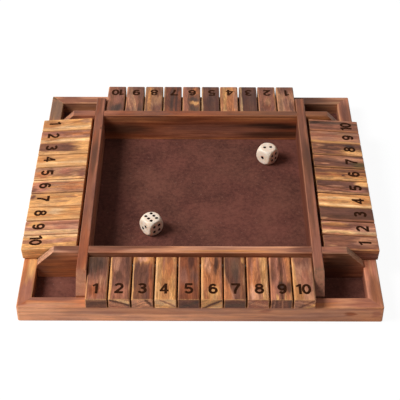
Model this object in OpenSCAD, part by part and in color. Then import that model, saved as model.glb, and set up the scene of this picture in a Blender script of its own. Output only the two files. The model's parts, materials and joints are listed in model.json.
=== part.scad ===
// Shut the box game board for four players.
// The origin is the centre of the board's underside: X runs to the right, Y to the back and Z up.
// Each side has a row of numbered tiles on one rod. A lowered tile rests on the outer rail,
// and a raised one leans on the divider between its row and the dice tray.

/* [Board] */
// Outside width of the square board
board_w = 304; // [298:1:312]
// Width of each outer rail
rail_w = 12; // [11:0.5:14]
// Height of each outer rail
rail_h = 16; // [15:0.5:18]
// Clear width of the corner pockets and of the troughs under the tiles
pocket_w = 36.5; // [34.5:0.5:39.5]
// Thickness of the divider boards
divider_t = 8.5; // [7.5:0.5:9.5]
// Height of the dividers above the table
divider_h = 33; // [31:0.5:35]
// Size of the 45 degree bevels on the dividers' upper corners
divider_bevel = 15.4; // [14.4:0.2:16.4]
// Radius on the long edges of rails and dividers
edge_r = 1; // [0.6:0.1:1.4]
// Radius on the board's four upright corners
corner_r = 2; // [1:0.5:3]

/* [Floor] */
// Thickness of the base board
base_t = 3; // [2.5:0.5:4]
// How far the base board reaches in under the rails
rabbet_w = 6; // [4:0.5:7]
// Thickness of the felt linings
felt_t = 1.2; // [0.8:0.1:1.6]

/* [Tiles] */
// Gap between neighbouring tiles
tile_gap = 1.2; // [0.8:0.1:1.8]
// Thickness of a tile
tile_t = 11.2; // [10:0.2:11.8]
// Length of a tile behind its rod
tile_tail = 5.4; // [4.8:0.1:5.6]
// How far a lowered tile hangs out past the rail
tile_overhang = 1.6; // [0.5:0.1:3]
// Radius on the long edges of a tile
tile_edge_r = 1.6; // [1:0.1:2]
// Radius on the edges round a tile's two ends
tile_end_r = 1; // [0.6:0.1:1.4]
// Gap between a lowered tile and the rail under it
rest_gap = 0.2; // [0.1:0.05:0.4]

/* [Rods] */
// Diameter of the steel rods
rod_d = 3; // [2.5:0.1:4]
// Radial running clearance of a tile on its rod
rod_play = 0.08; // [0.04:0.01:0.1]
// Distance from a divider's face to the rod's centre line
rod_setback = 7.6; // [7.4:0.1:8.2]
// Height of the rod's centre line above the rails
rod_lift = 8.5; // [8:0.1:9.5]
// Depth of the blind holes that hold the rod's ends
rod_seat = 5; // [3:0.5:6]

/* [Dice] */
// Width of a die
die_w = 16; // [14:0.5:18]
// Diameter of the ball that rounds a die's corners
die_ball_d = 21.6; // [20.8:0.1:22.6]
// Diameter of a pip
pip_d = 2.5; // [2:0.1:2.8]
// Depth of a pip
pip_depth = 0.4; // [0.3:0.1:0.6]
// Distance of a pip from the middle of a two, along each edge of the face
two_step = 2.1; // [1.9:0.1:2.6]
// Distance of the outer pips from the middle of a three, four or five
pip_step = 2.7; // [2.4:0.1:3]
// Distance between the pips along a row of three
six_step = 4; // [3.2:0.1:4.2]
// Distance of each row of three from the middle of a six
six_row = 3; // [2.4:0.1:3.2]
// Gap between a die and the felt
die_gap = 0.1; // [0.05:0.05:0.3]
// First die's middle, from the tray's left side
die_1_from_left = 51; // [25:1:75]
// First die's middle, from the tray's front side
die_1_from_front = 52; // [20:1:160]
// First die, turn seen from above
die_1_turn = 309; // [0:1:359]
// Second die's middle, from the tray's right side
die_2_from_right = 30; // [20:1:75]
// Second die's middle, from the tray's back side
die_2_from_back = 34; // [20:1:160]
// Second die, turn seen from above
die_2_turn = 320; // [0:1:359]

/* [Hidden] */
$fn = 48;
tile_count = 10;
SIDES = ["front", "right", "back", "left"];

half_w = board_w / 2;
rail_in = half_w - rail_w;
divider_out = rail_in - pocket_w;
tray_half = divider_out - divider_t;
tray_w = 2 * tray_half;
divider_mid = tray_half + divider_t / 2;
floor_z = base_t;
felt_z = base_t + felt_t;
lap_z = (floor_z + divider_h) / 2;

rod_u = divider_out + rod_setback;
rod_z = rail_h + rod_lift;
bore_d = rod_d + 2 * rod_play;

// The tile's underside meets the rail where its outer top edge begins to round over.
rest_u = half_w - edge_r - rod_u;
rest_drop = rod_lift - rest_gap;
rest_reach = sqrt(rest_u * rest_u + rest_drop * rest_drop);
tile_tilt = atan(rest_drop / rest_u) - asin(tile_t / 2 / rest_reach);
tile_pitch = tray_w / tile_count;
tile_w = tile_pitch - tile_gap;
tile_reach = (half_w + tile_overhang - rod_u) / cos(tile_tilt);
tile_l = tile_tail + tile_reach;

die_1_place = [die_1_from_left - tray_half, die_1_from_front - tray_half];
die_2_place = [tray_half - die_2_from_right, tray_half - die_2_from_back];

// Places of the pips of one number, measured from the middle of its face.
MIDDLE = [[0, 0]];
function diagonal(step) = [[-step, -step], [step, step]];
function corners(step) = concat(diagonal(step), [[-step, step], [step, -step]]);
PIPS = [
    MIDDLE,
    diagonal(two_step),
    concat(MIDDLE, diagonal(pip_step)),
    corners(pip_step),
    concat(MIDDLE, corners(pip_step)),
    [for (x = [-six_step, 0, six_step]) for (y = [-six_row, six_row]) [x, y]]
];

function side_name(part, s) = str(part, "_", SIDES[s]);
function tile_name(s, n) = str("tile_", SIDES[s], "_", n);

// The waste outside a rounded corner at the origin, for a shape towards +X and +Y
module corner_waste(r) {
    if (r > 0)
        difference() {
            translate([-r, -r])
                square(2 * r);
            translate([r, r])
                circle(r);
        }
}

// Rectangle from the origin with separate radii on its lower and upper corners
module soft_rect(w, h, low_r, high_r) {
    difference() {
        square([w, h]);
        for (side = [0, 1])
            translate([side * w, 0])
                mirror([side, 0]) {
                    corner_waste(low_r);
                    translate([0, h])
                        mirror([0, 1])
                            corner_waste(high_r);
                }
    }
}

// Turns a piece of the front row to its own side of the board
module on_side(s) {
    rotate([0, 0, 90 * s])
        children();
}

module base_board() {
    color("burlywood")
        translate([-rail_in - rabbet_w, -rail_in - rabbet_w, 0])
            cube([2 * (rail_in + rabbet_w), 2 * (rail_in + rabbet_w), base_t]);
}

module felt(low, high) {
    color([0.36, 0.2, 0.18])
        translate([low[0], low[1], floor_z])
            cube([high[0] - low[0], high[1] - low[1], felt_t]);
}

module tray_felt() {
    felt([-tray_half, -tray_half], [tray_half, tray_half]);
}

module pocket_felts() {
    for (s = [0 : 3])
        on_side(s)
            felt([-rail_in, -rail_in], [-divider_out, -divider_out]);
}

module trough_felts() {
    for (s = [0 : 3])
        on_side(s)
            felt([-tray_half, -rail_in], [tray_half, -divider_out]);
}

// Outer rail with mitred ends, a rabbet for the base board and rounded top edges
module rail() {
    color([0.6, 0.36, 0.24])
        difference() {
            intersection() {
                translate([-half_w, -half_w, 0])
                    rotate([90, 0, 90])
                        linear_extrude(board_w)
                            soft_rect(rail_w, rail_h, 0, edge_r);
                linear_extrude(rail_h)
                    polygon([[-half_w, -half_w], [half_w, -half_w], [0, 0]]);
                translate([-half_w, -half_w, 0])
                    linear_extrude(rail_h)
                        soft_rect(board_w, board_w, corner_r, corner_r);
            }
            translate([-half_w, -rail_in - rabbet_w, -1])
                cube([board_w, rail_w, base_t + 1]);
        }
}

// Outline of a divider seen from the side, with its upper corners bevelled down towards the rails
module divider_outline() {
    polygon([
        [-rail_in, floor_z],
        [rail_in, floor_z],
        [rail_in, divider_h - divider_bevel],
        [rail_in - divider_bevel, divider_h],
        [-rail_in + divider_bevel, divider_h],
        [-rail_in, divider_h - divider_bevel]
    ]);
}

// Divider along X on the front side, before its halving joints are cut
module divider_blank() {
    difference() {
        intersection() {
            translate([0, -tray_half, 0])
                rotate([90, 0, 0])
                    linear_extrude(divider_t)
                        divider_outline();
            translate([-rail_in, -divider_out, 0])
                rotate([90, 0, 90])
                    linear_extrude(2 * rail_in)
                        soft_rect(divider_t, divider_h, 0, edge_r);
        }
        for (x = [-1, 1])
            translate([x * rod_u, -divider_out, rod_z])
                rotate([-90, 0, 0])
                    translate([0, 0, divider_t - rod_seat])
                        cylinder(d = rod_d, h = rod_seat + 1);
    }
}

// The front and back dividers are notched from above, and the left and right ones from below.
module divider(s) {
    from_above = s % 2 == 0;
    notch_z = from_above ? lap_z : floor_z - 1;
    color([0.58, 0.34, 0.23])
        difference() {
            divider_blank();
            for (x = [-1, 1])
                translate([x * divider_mid - divider_t / 2, -divider_out - 1, notch_z])
                    cube([divider_t, divider_t + 2, from_above ? divider_h : lap_z - notch_z]);
        }
}

// Rod along X under the front row, with its ends in the left and right dividers
module rod() {
    color("silver")
        translate([-tray_half - rod_seat, -rod_u, rod_z])
            rotate([0, 90, 0])
                cylinder(d = rod_d, h = tray_w + 2 * rod_seat);
}

// Tile with its rod at the origin, lying level and pointing towards -Y
module tile_blank() {
    difference() {
        intersection() {
            translate([-tile_w / 2, tile_tail, -tile_t / 2])
                rotate([90, 0, 0])
                    linear_extrude(tile_l)
                        soft_rect(tile_w, tile_t, tile_end_r, tile_edge_r);
            translate([-tile_w / 2, -tile_reach, -tile_t / 2])
                rotate([90, 0, 90])
                    linear_extrude(tile_w)
                        soft_rect(tile_l, tile_t, tile_end_r, tile_end_r);
            translate([-tile_w / 2, -tile_reach, -tile_t / 2])
                linear_extrude(tile_t)
                    soft_rect(tile_w, tile_l, tile_end_r, tile_end_r);
        }
        translate([-tile_w / 2 - 1, 0, 0])
            rotate([0, 90, 0])
                cylinder(d = bore_d, h = tile_w + 2);
    }
}

module tile(n) {
    color(n % 2 == 0 ? [0.72, 0.48, 0.28] : [0.5, 0.33, 0.25])
        translate([(n - (tile_count + 1) / 2) * tile_pitch, -rod_u, rod_z])
            rotate([tile_tilt, 0, 0])
                tile_blank();
}

// One number's pips on the face that looks along +Z
module pips(number) {
    ball_r = (pip_d * pip_d / 4 + pip_depth * pip_depth) / (2 * pip_depth);
    for (p = PIPS[number - 1])
        translate([p[0], p[1], die_w / 2 + ball_r - pip_depth])
            sphere(ball_r);
}

// Die resting on the felt. Opposite faces add up to seven.
module die(top, front, right, place, turn) {
    color("linen")
        translate([place[0], place[1], felt_z + die_gap + die_w / 2])
            rotate([0, 0, turn])
                difference() {
                    intersection() {
                        cube(die_w, center = true);
                        sphere(d = die_ball_d);
                    }
                    pips(top);
                    rotate([180, 0, 0]) pips(7 - top);
                    rotate([90, 0, 0]) pips(front);
                    rotate([-90, 0, 0]) pips(7 - front);
                    rotate([0, 90, 0]) pips(right);
                    rotate([0, -90, 0]) pips(7 - right);
                }
}

base_board();
tray_felt();
pocket_felts();
trough_felts();
for (s = [0 : 3]) {
    on_side(s) rail();
    on_side(s) divider(s);
    on_side(s) rod();
    for (n = [1 : tile_count])
        on_side(s) tile(n);
}
die(6, 2, 4, die_1_place, die_1_turn);  // die_1
die(2, 1, 4, die_2_place, die_2_turn);  // die_2
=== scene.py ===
import json
import math
import random

import bmesh
import bpy
from mathutils import Matrix, Vector, noise


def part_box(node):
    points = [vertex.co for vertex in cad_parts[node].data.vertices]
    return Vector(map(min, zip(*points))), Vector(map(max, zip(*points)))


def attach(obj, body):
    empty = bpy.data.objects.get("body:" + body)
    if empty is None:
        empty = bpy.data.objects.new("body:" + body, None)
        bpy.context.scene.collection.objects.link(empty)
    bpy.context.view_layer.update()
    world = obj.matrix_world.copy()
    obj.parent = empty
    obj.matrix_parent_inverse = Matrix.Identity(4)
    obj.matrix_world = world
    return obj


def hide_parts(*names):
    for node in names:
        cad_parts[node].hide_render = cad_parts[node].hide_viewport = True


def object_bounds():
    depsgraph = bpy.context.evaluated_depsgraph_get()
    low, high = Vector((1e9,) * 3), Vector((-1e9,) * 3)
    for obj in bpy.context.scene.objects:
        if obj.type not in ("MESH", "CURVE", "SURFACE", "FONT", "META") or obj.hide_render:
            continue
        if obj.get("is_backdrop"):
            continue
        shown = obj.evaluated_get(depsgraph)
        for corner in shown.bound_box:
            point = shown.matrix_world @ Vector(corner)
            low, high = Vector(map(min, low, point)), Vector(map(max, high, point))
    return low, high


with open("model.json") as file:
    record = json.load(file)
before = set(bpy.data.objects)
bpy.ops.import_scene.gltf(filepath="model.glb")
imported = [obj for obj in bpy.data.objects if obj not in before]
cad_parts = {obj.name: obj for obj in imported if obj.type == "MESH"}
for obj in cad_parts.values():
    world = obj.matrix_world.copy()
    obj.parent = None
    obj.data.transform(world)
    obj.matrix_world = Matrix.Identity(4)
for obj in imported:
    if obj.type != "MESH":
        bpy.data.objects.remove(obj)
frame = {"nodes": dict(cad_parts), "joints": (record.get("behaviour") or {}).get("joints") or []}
cad_low, cad_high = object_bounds()

MM = 0.001
SIDES = ("front", "right", "back", "left")
TILE_COUNT = 10
BOARD = "board"

# Wood tones as they look in plain light
TONES = {
    "cream": "#EDC08C",
    "gold": "#DDA56B",
    "peach": "#D79C7A",
    "honey": "#C88A56",
    "orange": "#BE7A50",
    "pink": "#BC8568",
    "tan": "#AE7E5E",
    "rose": "#A66C55",
    "russet": "#965639",
    "fawn": "#866650",
    "brown": "#84553D",
    "mauve": "#885845",
    "plum": "#704838",
    "umber": "#66412F",
    "smoke": "#604537",
    "olive": "#65502F",
    "cocoa": "#62382A",
    "char": "#402A20",
}


def linear(code, gain=1.0):
    """Linear RGBA of a colour written as #RRGGBB, or by the name of a wood tone"""
    code = TONES.get(code, code)
    shares = [int(code[i : i + 2], 16) / 255 for i in (1, 3, 5)]
    curved = [s / 12.92 if s <= 0.04045 else ((s + 0.055) / 1.055) ** 2.4 for s in shares]
    return (*[min(1.0, gain * c) for c in curved], 1.0)


class Shader:
    """A material or a world whose nodes are added one expression at a time"""

    def __init__(self, name, kind="materials", surface="Principled BSDF"):
        self.owner = getattr(bpy.data, kind).new(name)
        self.owner.use_nodes = True
        self.tree = self.owner.node_tree
        self.surface = self.tree.nodes[surface]

    def feed(self, socket, value):
        if isinstance(value, bpy.types.NodeSocket):
            self.tree.links.new(value, socket)
        else:
            socket.default_value = value

    def put(self, kind, inputs, **settings):
        node = self.tree.nodes.new(kind)
        for key, value in settings.items():
            setattr(node, key, value)
        for key, value in inputs.items():
            self.feed(node.inputs[key], value)
        return node

    def attribute(self, name):
        return self.put("ShaderNodeAttribute", {}, attribute_name=name).outputs["Vector"]

    def place(self):
        return self.put("ShaderNodeTexCoord", {}).outputs["Object"]

    def split(self, vector):
        return self.put("ShaderNodeSeparateXYZ", {0: vector}).outputs

    def join(self, x, y, z):
        return self.put("ShaderNodeCombineXYZ", {0: x, 1: y, 2: z}).outputs[0]

    def math(self, operation, *values):
        return self.put("ShaderNodeMath", dict(enumerate(values)), operation=operation).outputs[0]

    def times(self, value, factor):
        return self.math("MULTIPLY", value, factor)

    def muladd(self, value, factor, added):
        return self.math("MULTIPLY_ADD", value, factor, added)

    def scaled(self, vector, scale, shift=(0, 0, 0)):
        inputs = {0: vector, 1: scale, 2: shift}
        return self.put("ShaderNodeVectorMath", inputs, operation="MULTIPLY_ADD").outputs[0]

    def length(self, vector):
        return self.put("ShaderNodeVectorMath", {0: vector}, operation="LENGTH").outputs["Value"]

    def noise(self, vector, detail=2.0, roughness=0.5, scale=1.0):
        inputs = {"Vector": vector, "Scale": scale, "Detail": detail, "Roughness": roughness}
        return self.put("ShaderNodeTexNoise", inputs).outputs[0]

    def line_noise(self, value, scale, detail=2.0, roughness=0.5):
        inputs = {"W": value, "Scale": scale, "Detail": detail, "Roughness": roughness}
        return self.put("ShaderNodeTexNoise", inputs, noise_dimensions="1D").outputs[0]

    def ramp(self, value, low, high, start=0.0, end=1.0, smooth=True):
        inputs = {"Value": value, "From Min": low, "From Max": high, "To Min": start, "To Max": end}
        kind = "SMOOTHSTEP" if smooth else "LINEAR"
        return self.put("ShaderNodeMapRange", inputs, interpolation_type=kind).outputs[0]

    def mix(self, factor, first, second, blend="MIX"):
        inputs = {0: factor, 6: first, 7: second}
        return self.put("ShaderNodeMix", inputs, data_type="RGBA", blend_type=blend).outputs[2]

    def tinted(self, colour, tint):
        return self.mix(1.0, colour, tint, "MULTIPLY")

    def bump(self, height, depth, strength=1.0):
        inputs = {"Height": height, "Distance": depth, "Strength": strength}
        return self.put("ShaderNodeBump", inputs).outputs[0]

    def finish(self, **values):
        """Sets the surface's inputs by name, with _ for a space, and returns what was made"""
        for key, value in values.items():
            self.feed(self.surface.inputs[key.replace("_", " ")], value)
        return self.owner


PATCH_Z = 5  # just under a tile's upper face


def look(base, *streaks, patches=(), sawn=(), **changes):
    """How one piece of wood looks, in millimetres.
    A streak is (tone, place across, half width) on the upper face, with a second place and half
    width if they differ at the other end. A half width below 0 lets it run out before that end.
    A patch is (tone, centre, radii), at PATCH_Z where its centre has no height. A band of sawn,
    seen on the end grain at the first end, is (tone, distance from the middle, angle, half
    width). lean tilts the streaks through the thickness, slant is how fast the growth rings
    drift across the piece along its length, run is how fast its figure changes along it, gain is
    the strength of its colour, and edge is the tone of its rounded edges, lightened partly for
    wear and partly as a painted highlight."""
    spec = dict(lean=0.35, slant=0.03, run=1.0, contrast=1.0, gain=1.0, edge="gold")
    streaks = [(tone, *(ends * 2)[:4]) for tone, *ends in streaks]
    patches = [(tone, (*centre, PATCH_Z)[:3], radii) for tone, centre, radii in patches]
    return spec | dict(base=base, streaks=streaks, patches=patches, sawn=sawn) | changes


def long_look(base, *streaks, **changes):
    """The look of a rail or a divider, sawn straight along the grain"""
    straight = dict(lean=0.1, slant=0.004, run=0.5, contrast=0.42)
    return look(base, *streaks, **(straight | changes))


def wood(name, spec, seed, span, top):
    """Oiled hardwood. The attribute grain gives the place in the piece in millimetres: across,
    along and upwards. The attribute skin gives how far a corner lies on a rounded edge, whose
    colour is lightened partly for wear and partly as a painted highlight, and how far a face is
    end grain. span is the range along the piece, and top the height of its upper face."""
    draw = random.Random(seed)
    shift = [draw.uniform(-400, 400) for _ in range(3)]
    pith_x, pith_z = draw.uniform(-14, 14), top - draw.uniform(20, 40)
    s = Shader(name)
    grain = s.attribute("grain")
    wear_and_highlight, ends, _ = s.split(s.attribute("skin"))
    x, y, z = s.split(grain)
    spot = s.scaled(grain, (1, spec["run"], 1), shift)

    # Streaks and patches, whose outlines sway, and the bands on the outer end
    drift = s.noise(s.scaled(spot, (0.11, 0.026, 0.11)), detail=2)
    fringe = s.noise(s.scaled(spot, (0.5, 0.055, 0.5), (5, 1, 2)), detail=2)
    hair = s.noise(s.scaled(spot, (1.9, 0.07, 1.9)), detail=2, roughness=0.6)
    sway = s.muladd(drift, 4.5, s.muladd(fringe, 3.2, -4.85))
    sway = s.muladd(hair, 2.0, sway)
    leaned = s.muladd(s.math("SUBTRACT", z, top), spec["lean"], x)
    across = s.math("ADD", leaned, sway)
    share = s.ramp(y, span[0], span[1], smooth=False)
    finger = s.noise(s.scaled(spot, (0.3, 0.02, 0.3), (3, 8, 1)), detail=3)
    reach = s.muladd(finger, 36.0, -18.0)

    colour = linear(spec["base"])
    for tone, x_first, w_first, x_last, w_last in spec["streaks"]:
        middle = s.muladd(share, x_last - x_first, x_first)
        half = s.muladd(share, w_last - w_first, w_first)
        off = s.math("ABSOLUTE", s.math("SUBTRACT", across, middle))
        inside = s.ramp(s.math("SUBTRACT", half, off), -1.1, 1.1)
        colour = s.mix(inside, colour, linear(tone))
    for tone, centre, radii in spec["patches"]:
        stirred = s.muladd(reach, min(1.0, radii[1] / 14), y)
        swayed = s.join(s.muladd(sway, 0.7, x), stirred, z)
        part = s.scaled(swayed, [1 / r for r in radii], [-c / r for c, r in zip(centre, radii)])
        inside = s.ramp(s.length(part), 1.45, 0.5)
        colour = s.mix(inside, colour, linear(tone))

    at_end = s.times(ends, s.ramp(y, span[0] + 12, span[0] + 6))
    for tone, offset, angle, half in spec["sawn"]:
        a = math.radians(angle)
        place = s.muladd(x, math.sin(a), s.times(z, math.cos(a)))
        off = s.math("SUBTRACT", s.muladd(sway, 0.5, place), offset)
        inside = s.ramp(s.math("ABSOLUTE", off), half + 1.0, half - 1.0)
        colour = s.mix(s.times(inside, at_end), colour, linear(tone))

    # Growth rings about a pith below the piece, mixed with fibres
    wobble = s.noise(s.scaled(spot, (0.12, 0.03, 0.12), (7, 3, 5)), detail=3)
    to_pith = s.length(s.join(s.math("SUBTRACT", x, pith_x), 0.0, s.math("SUBTRACT", z, pith_z)))
    drifted = s.muladd(y, spec["slant"], to_pith)
    ring = s.muladd(wobble, 7.0, drifted)
    bands = s.line_noise(ring, 0.42, detail=4, roughness=0.62)
    fibres = s.noise(s.scaled(spot, (2.3, 0.055, 2.3), (2, 4, 6)), detail=3, roughness=0.65)
    grade = s.muladd(fibres, 0.5, s.times(bands, 0.5))
    light = s.ramp(grade, 0.39, 0.61, smooth=False)
    deep, high = 1 - 0.4 * spec["contrast"], 1 + 0.36 * spec["contrast"]
    tint = s.mix(light, (deep, deep * 0.89, deep * 0.82, 1), (high, high, high * 0.98, 1))
    colour = s.tinted(colour, tint)

    # Light and dark flecks, then broad cool and warm areas
    fleck = s.noise(s.scaled(spot, (0.95, 0.17, 0.95), (9, 2, 7)), detail=4, roughness=0.65)
    bright = s.times(s.ramp(fleck, 0.56, 0.66), 0.5 * spec["contrast"])
    colour = s.mix(bright, colour, s.tinted(colour, (1.7, 1.62, 1.5, 1)))
    dim = s.times(s.ramp(fleck, 0.44, 0.34), 0.55 * spec["contrast"])
    colour = s.mix(dim, colour, s.tinted(colour, (0.5, 0.44, 0.44, 1)))
    cloud = s.noise(s.scaled(spot, (0.16, 0.05, 0.16), (1, 9, 4)), detail=2)
    cool, warm = (0.86, 0.85, 0.92), (1.15, 1.1, 1.02)
    cool, warm = ((*[spec["gain"] * c for c in tone], 1) for tone in (cool, warm))
    colour = s.tinted(colour, s.mix(s.ramp(cloud, 0.35, 0.65), cool, warm))

    # Pores, rubbed edges lightened partly for wear and partly as a painted highlight, and lighter
    # end grain
    pores = s.ramp(s.noise(s.scaled(spot, (6.5, 0.32, 6.5)), detail=1), 0.62, 0.7)
    colour = s.mix(s.times(pores, 0.45 * spec["contrast"]), colour, linear("char", 0.55))
    rubbed_and_highlit = s.times(wear_and_highlight, s.ramp(fringe, 0.36, 0.62, 0.2, 0.72))
    colour = s.mix(rubbed_and_highlit, colour, linear(spec["edge"], 1.1))
    colour = s.tinted(colour, s.mix(ends, (1, 1, 1, 1), (1.12, 1.05, 1.0, 1)))

    height = s.muladd(pores, -0.8, s.muladd(fibres, 0.8, grade))
    rough = s.ramp(s.muladd(pores, 0.5, grade), 0.35, 0.9, 0.46, 0.62, smooth=False)
    return s.finish(
        Base_Color=colour,
        Roughness=rough,
        Specular_IOR_Level=0.17,
        Coat_Weight=0.03,
        Coat_Roughness=0.35,
        Normal=s.bump(height, 0.00006, 0.7),
    )


def felt_material():
    s = Shader("felt")
    place = s.place()
    cloud = s.noise(place, scale=22, detail=6, roughness=0.7)
    nap = s.noise(place, scale=300, detail=3, roughness=0.7)
    fibre = s.noise(place, scale=1500, detail=2, roughness=0.6)
    mixed = s.muladd(cloud, 0.6, s.times(nap, 0.4))
    colour = s.mix(s.ramp(mixed, 0.38, 0.62, smooth=False), linear("#482721"), linear("#75463A"))
    specks = s.ramp(fibre, 0.58, 0.74)
    colour = s.mix(s.times(specks, 0.45), colour, linear("#96685A"))
    patchy = s.noise(s.scaled(place, (1, 1, 1), (3, 5, 0)), scale=16, detail=3, roughness=0.6)
    hue = s.mix(s.ramp(patchy, 0.36, 0.64), (0.97, 0.99, 0.97, 1), (1.07, 1.0, 1.03, 1))
    colour = s.tinted(colour, hue)
    lint = s.ramp(s.noise(place, scale=520, detail=1), 0.72, 0.78, 0.0, 0.4)
    colour = s.mix(lint, colour, linear("#A88474"))
    height = s.muladd(nap, 0.7, fibre)
    return s.finish(
        Base_Color=colour,
        Roughness=0.95,
        Specular_IOR_Level=0.15,
        Sheen_Weight=0.18,
        Sheen_Roughness=0.6,
        Sheen_Tint=linear("#C08A7A"),
        Normal=s.bump(height, 0.00035, 0.8),
    )


def plywood_material():
    s = Shader("base_plywood")
    place = s.place()
    ply = s.line_noise(s.split(place)[2], 900, detail=0)
    grain = s.noise(s.scaled(place, (26, 900, 900)), detail=4, roughness=0.6)
    cloud = s.noise(s.scaled(place, (6, 40, 40)), detail=2)
    both = s.muladd(cloud, 0.5, s.times(grain, 0.5))
    colour = s.mix(s.ramp(both, 0.35, 0.65, smooth=False), linear("#B98B5D"), linear("#DDB98A"))
    colour = s.mix(s.ramp(ply, 0.5, 0.56, 0.0, 0.12), colour, linear("#8A6240"))
    return s.finish(Base_Color=colour, Roughness=0.7, Normal=s.bump(grain, 0.00008, 0.6))


def steel_material():
    s = Shader("steel_rod")
    place = s.place()
    drawn = s.noise(s.scaled(place, (900, 900, 900)), detail=3)
    cloud = s.noise(s.scaled(place, (60, 60, 60)), detail=2)
    colour = s.mix(cloud, linear("#55524F"), linear("#75716C"))
    rough = s.ramp(drawn, 0.3, 0.7, 0.42, 0.6, smooth=False)
    return s.finish(Base_Color=colour, Metallic=1.0, Roughness=rough, Normal=s.bump(drawn, 0.00001))


def ink_material():
    s = Shader("number_ink")
    blot = s.noise(s.place(), scale=700, detail=3, roughness=0.6)
    colour = s.mix(s.ramp(blot, 0.35, 0.7), linear("#2A150A"), linear("#402313"))
    rough = s.ramp(blot, 0.3, 0.7, 0.66, 0.82, smooth=False)
    return s.finish(
        Base_Color=colour,
        Roughness=rough,
        Specular_IOR_Level=0.03,
        Normal=s.bump(blot, 0.00003, 0.6),
    )


def die_material():
    s = Shader("die_resin")
    place = s.place()
    cloud = s.noise(place, scale=160, detail=4, roughness=0.55)
    colour = s.mix(s.ramp(cloud, 0.32, 0.68, smooth=False), linear("#F5D6BC"), linear("#FFEAD8"))
    fine = s.noise(place, scale=1500, detail=2)
    return s.finish(
        Base_Color=colour,
        Roughness=s.ramp(fine, 0.3, 0.7, 0.3, 0.4, smooth=False),
        Subsurface_Weight=0.45,
        Subsurface_Radius=(1.0, 0.85, 0.75),
        Subsurface_Scale=0.005,
        Coat_Weight=0.1,
        Coat_Roughness=0.2,
        Normal=s.bump(fine, 0.00002, 0.5),
    )


def pip_material():
    s = Shader("pip_paint")
    blot = s.noise(s.place(), scale=1200, detail=2)
    colour = s.mix(blot, linear("#190C06"), linear("#28150B"))
    bump = s.bump(blot, 0.00002, 0.6)
    return s.finish(Base_Color=colour, Roughness=0.5, Specular_IOR_Level=0.06, Normal=bump)


def add_piece(mesh, name, body, material, replaces=()):
    """Puts a finished mesh into the scene as a piece of the object"""
    piece = bpy.data.objects.new(name, mesh)
    bpy.context.scene.collection.objects.link(piece)
    mesh.materials.clear()
    mesh.materials.append(material)
    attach(piece, body)
    if replaces:
        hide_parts(*replaces)
    return piece


def fix_normals(piece, sharp_angle=32):
    """Shades the piece smooth across its rounds and flat on its faces"""
    piece.data.shade_smooth()
    piece.data.set_sharp_from_angle(angle=math.radians(sharp_angle))
    weighted = piece.modifiers.new("weighted_normals", "WEIGHTED_NORMAL")
    weighted.keep_sharp = True
    weighted.weight = 90


WELD = 0.002 * MM
FLAT_ANGLE, SHARP_ANGLE = math.radians(0.5), math.radians(30)


def eased_copy(node, ease):
    """The CAD node's shape with its flat faces whole and its sharp outer edges eased"""
    source = frame["nodes"][node]
    shape = bmesh.new()
    shape.from_mesh(source.data)
    shape.transform(source.matrix_world)
    bmesh.ops.remove_doubles(shape, verts=shape.verts, dist=WELD)
    bmesh.ops.dissolve_limit(shape, angle_limit=FLAT_ANGLE, verts=shape.verts, edges=shape.edges)
    sharp = [e for e in shape.edges if e.is_manifold and e.calc_face_angle_signed() > SHARP_ANGLE]
    bmesh.ops.bevel(
        shape, geom=sharp, offset=ease, segments=2, profile=0.5, affect="EDGES", clamp_overlap=True
    )
    return shape


def add_grain(shape, mesh, to_local):
    """Stores the place in the piece, how far each corner lies on a rounded edge, for the edges'
    wear and painted highlight, and its end grain on the mesh
    """
    turn = to_local.to_3x3().normalized()
    shape.normal_update()
    grain = shape.verts.layers.float_vector.new("grain")
    skin = shape.loops.layers.float_vector.new("skin")
    for vert in shape.verts:
        vert[grain] = (to_local @ vert.co) / MM
    diagonal = 1 - math.sqrt(0.5)
    for face in shape.faces:
        facing = turn @ face.normal
        on_flat = max(abs(f) for f in facing) > 0.999
        for loop in face.loops:
            corner = turn @ loop.vert.normal
            wear_and_highlight = 0 if on_flat else min(1, (1 - max(abs(c) for c in corner)) / diagonal)
            loop[skin] = (wear_and_highlight, abs(facing.y) ** 4, 0)
    shape.to_mesh(mesh)
    shape.free()


def frame_matrix(across, along, up, origin):
    """Matrix from a piece's own axes to the frame"""
    matrix = Matrix((across, along, up)).transposed().to_4x4()
    matrix.translation = origin
    return matrix


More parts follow.
